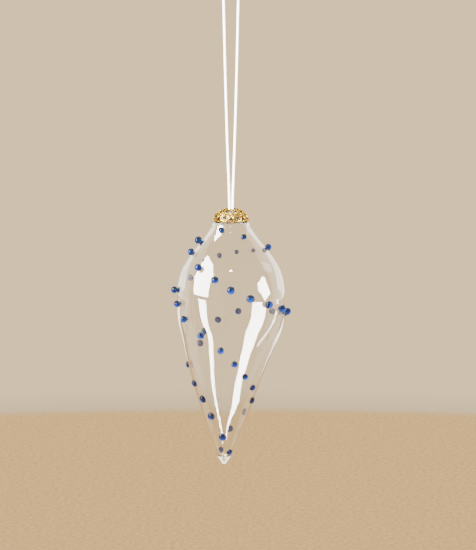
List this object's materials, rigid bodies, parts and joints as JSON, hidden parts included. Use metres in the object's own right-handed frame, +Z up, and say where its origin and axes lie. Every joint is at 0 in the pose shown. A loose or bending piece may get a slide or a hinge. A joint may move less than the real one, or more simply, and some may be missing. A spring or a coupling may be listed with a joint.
{
  "type": "icicle hanging ornament",
  "caption": "Hollow clear glass icicle drop with winding blue glass dots, a gold filigree cap and a white cord loop to hang it by",
  "frame": {"origin": "the point inside the top of the cord loop where a hook bears", "axes": "+Z up along the hanging line, +X to the right of the front view, -Y toward the front; the drawn tip leans toward -X"},
  "size_m": [0.0602, 0.0592, 0.2499],
  "materials": {
    "clear_glass": "clear, colourless, fire-polished blown glass",
    "blue_glass": "transparent cobalt blue, fire-polished beads",
    "gold_cap": "bright gold-plated stamped filigree",
    "clear_adhesive": "clear cured adhesive, slightly milky",
    "white_cord": "soft twisted white cord"
  },
  "bodies": {
    "hanging_cord": {"cord_loop": "white_cord"},
    "knot": {"cord_knot": "white_cord"},
    "ornament": {"glass_body": "clear_glass", "filigree_cap": "gold_cap", "cap_adhesive": "clear_adhesive", "blue_dot_a01": "blue_glass", "blue_dot_a02": "blue_glass", "blue_dot_a03": "blue_glass", "blue_dot_a04": "blue_glass", "blue_dot_a05": "blue_glass", "blue_dot_a06": "blue_glass", "blue_dot_a07": "blue_glass", "blue_dot_a08": "blue_glass", "blue_dot_a09": "blue_glass", "blue_dot_a10": "blue_glass", "blue_dot_a11": "blue_glass", "blue_dot_a12": "blue_glass", "blue_dot_a13": "blue_glass", "blue_dot_a14": "blue_glass", "blue_dot_a15": "blue_glass", "blue_dot_a16": "blue_glass", "blue_dot_a17": "blue_glass", "blue_dot_a18": "blue_glass", "blue_dot_a19": "blue_glass", "blue_dot_a20": "blue_glass", "blue_dot_a21": "blue_glass", "blue_dot_b01": "blue_glass", "blue_dot_b02": "blue_glass", "blue_dot_b03": "blue_glass", "blue_dot_b04": "blue_glass", "blue_dot_b05": "blue_glass", "blue_dot_b06": "blue_glass", "blue_dot_b07": "blue_glass", "blue_dot_b08": "blue_glass", "blue_dot_b09": "blue_glass", "blue_dot_b10": "blue_glass", "blue_dot_b11": "blue_glass", "blue_dot_b12": "blue_glass", "blue_dot_b13": "blue_glass", "blue_dot_b14": "blue_glass", "blue_dot_b15": "blue_glass", "blue_dot_b16": "blue_glass", "blue_dot_b17": "blue_glass", "blue_dot_b18": "blue_glass", "blue_dot_b19": "blue_glass", "blue_dot_b20": "blue_glass", "blue_dot_b21": "blue_glass", "blue_dot_b22": "blue_glass", "blue_dot_b23": "blue_glass"}
  },
  "joints": [
    {"name": "cord_swing", "type": "hinge", "parent": "hanging_cord", "child": "knot", "pos_m": [0, 0, -0.118], "axis": [1, 0, 0], "range_deg": [-40, 40]},
    {"name": "ornament_spin", "type": "hinge", "parent": "knot", "child": "ornament", "pos_m": [0, 0, -0.118], "axis": [0, 0, 1], "continuous": true}
  ]
}
